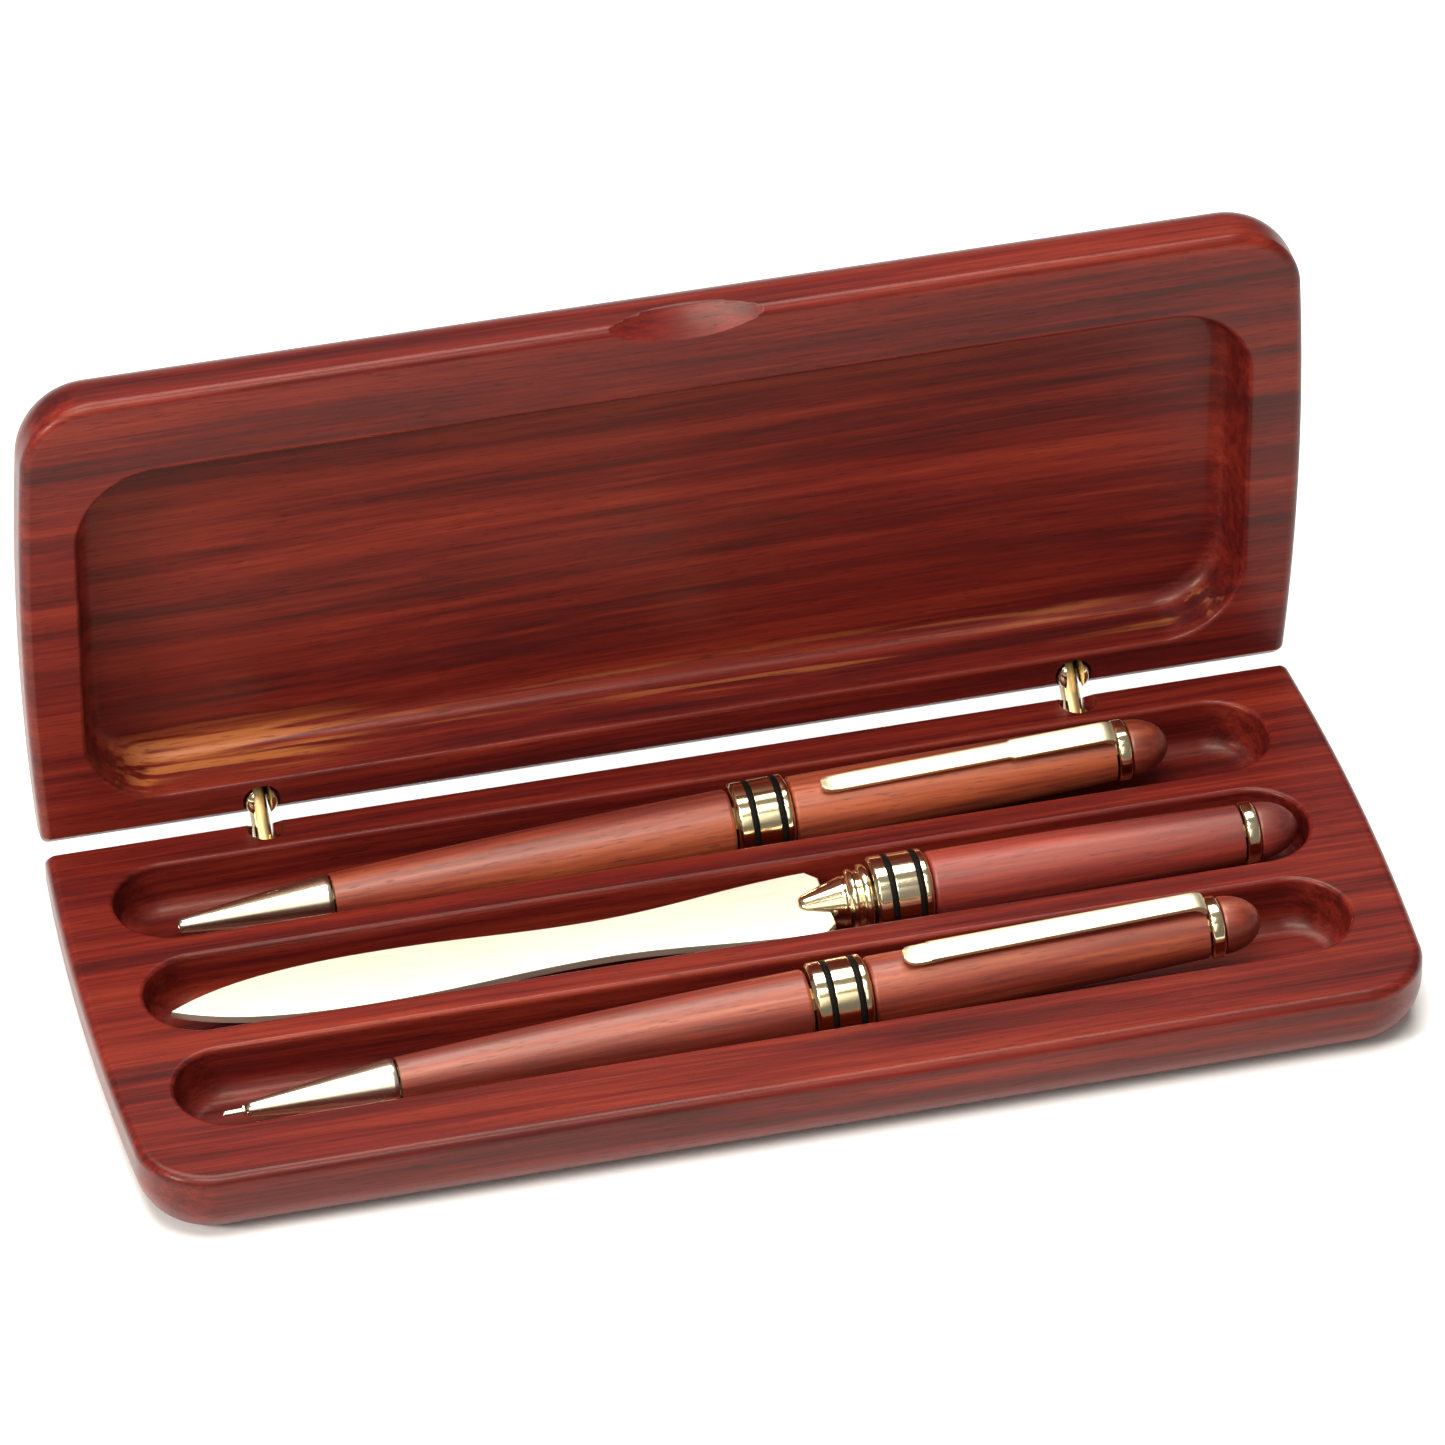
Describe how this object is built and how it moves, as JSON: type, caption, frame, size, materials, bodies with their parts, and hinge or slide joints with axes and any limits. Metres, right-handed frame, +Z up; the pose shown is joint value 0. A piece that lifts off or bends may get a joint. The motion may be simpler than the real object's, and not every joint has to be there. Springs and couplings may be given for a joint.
{
  "type": "desk pen set case",
  "caption": "Hinged wooden presentation case, open, with routed troughs holding a twist ballpoint pen, a letter opener and a twist pencil.",
  "frame": {"origin": "centre of the base's flat underside", "axes": "+X along the case towards the caps of the pens, -Y towards the opening front, +Y the hinge side, +Z up"},
  "size_m": [0.1742, 0.0831, 0.0831],
  "materials": {
    "rosewood": "clear lacquer, semi-gloss, straight fine grain along the case",
    "orange_rosewood": "clear lacquer, gloss, warmer grain",
    "gold": "gold plate on brass, polished",
    "brass": "plain turned brass",
    "black_enamel": "glossy black enamel fill",
    "steel": "plain steel",
    "graphite": "pencil lead"
  },
  "bodies": {
    "base": {"case_base": "rosewood", "hinge_left_base_barrel": "gold", "hinge_left_base_pin": "brass", "hinge_right_base_barrel": "gold", "hinge_right_base_pin": "brass"},
    "hinge_links": {"hinge_left_link": "brass", "hinge_right_link": "brass"},
    "lid": {"case_lid": "rosewood", "hinge_left_lid_barrel": "gold", "hinge_left_lid_pin": "brass", "hinge_right_lid_barrel": "gold", "hinge_right_lid_pin": "brass"},
    "pen_cap": {"pen_upper_barrel": "orange_rosewood", "pen_upper_tube": "brass", "pen_twist_sleeve": "brass", "pen_cap_ring": "gold", "pen_cap_dome": "orange_rosewood", "pen_cap_plug": "brass"},
    "pen_clip": {"pen_clip": "gold"},
    "pen_lower": {"pen_nose_cone": "gold", "pen_lower_barrel": "rosewood", "pen_lower_tube": "brass", "pen_centre_band": "gold", "pen_band_ring_front": "black_enamel", "pen_band_ring_rear": "black_enamel", "pen_twist_housing": "brass"},
    "pencil_cap": {"pencil_upper_barrel": "orange_rosewood", "pencil_upper_tube": "brass", "pencil_twist_sleeve": "brass", "pencil_cap_ring": "gold", "pencil_cap_dome": "orange_rosewood", "pencil_cap_plug": "brass"},
    "pencil_clip": {"pencil_clip": "gold"},
    "pencil_lower": {"pencil_nose_cone": "gold", "pencil_lower_barrel": "rosewood", "pencil_lower_tube": "brass", "pencil_centre_band": "gold", "pencil_band_ring_front": "black_enamel", "pencil_band_ring_rear": "black_enamel", "pencil_twist_housing": "brass", "pencil_lead_pipe": "gold"},
    "pen_refill": {"pen_refill": "brass", "pen_pusher": "steel"},
    "pencil_lead": {"pencil_lead": "graphite", "pencil_lead_carrier": "steel"},
    "opener": {"opener_blade": "gold", "opener_nose": "gold", "opener_centre_band": "gold", "opener_band_ring_front": "black_enamel", "opener_band_ring_rear": "black_enamel", "opener_handle": "rosewood", "opener_handle_tube": "brass", "opener_cap_ring": "gold", "opener_cap_dome": "rosewood", "opener_cap_plug": "brass"}
  },
  "joints": [
    {"name": "links_swing", "type": "hinge", "parent": "base", "child": "hinge_links", "pos_m": [0, 0.033, 0.006], "axis": [-1, 0, 0], "range_deg": [-45, 0]},
    {"name": "lid_swing", "type": "hinge", "parent": "hinge_links", "child": "lid", "pos_m": [0, 0.04113, 0.01413], "axis": [-1, 0, 0], "range_deg": [-45, 0]},
    {"name": "pen_lift", "type": "slide", "parent": "base", "child": "pen_cap", "axis": [0, 0, 1], "range_m": [0, 0.03]},
    {"name": "pen_twist", "type": "hinge", "parent": "pen_cap", "child": "pen_lower", "pos_m": [-0.0705, 0.0213, 0.00685], "axis": [0.9993, 0, 0.0378], "range_deg": [0, 180]},
    {"name": "pen_refill_feed", "type": "slide", "parent": "pen_lower", "child": "pen_refill", "axis": [-0.9993, 0, -0.0378], "range_m": [0, 0.005]},
    {"name": "pen_clip_flex", "type": "hinge", "parent": "pen_cap", "child": "pen_clip", "pos_m": [0.05713, 0.01943, 0.01631], "axis": [-0.0141, 0.9272, 0.3743], "range_deg": [0, 3], "stiffness_Nm_per_rad": 1.2},
    {"name": "pencil_lift", "type": "slide", "parent": "base", "child": "pencil_cap", "axis": [0, 0, 1], "range_m": [0, 0.03]},
    {"name": "pencil_twist", "type": "hinge", "parent": "pencil_cap", "child": "pencil_lower", "pos_m": [-0.0727, -0.0177, 0.00677], "axis": [0.9993, 0, 0.0373], "range_deg": [0, 180]},
    {"name": "pencil_lead_feed", "type": "slide", "parent": "pencil_lower", "child": "pencil_lead", "axis": [-0.9993, 0, -0.0373], "range_m": [0, 0.004]},
    {"name": "pencil_clip_flex", "type": "hinge", "parent": "pencil_cap", "child": "pencil_clip", "pos_m": [0.05892, -0.01848, 0.01663], "axis": [-0.0058, 0.9877, 0.1563], "range_deg": [0, 3], "stiffness_Nm_per_rad": 1.2},
    {"name": "opener_lift", "type": "slide", "parent": "base", "child": "opener", "axis": [0, 0, 1], "range_m": [0, 0.03]}
  ],
  "couplings": [
    {"joint": "links_swing", "follows": "lid_swing", "ratio": 1},
    {"joint": "pen_refill_feed", "follows": "pen_twist", "m_per_rad": 0.00159},
    {"joint": "pencil_lead_feed", "follows": "pencil_twist", "m_per_rad": 0.00127}
  ]
}
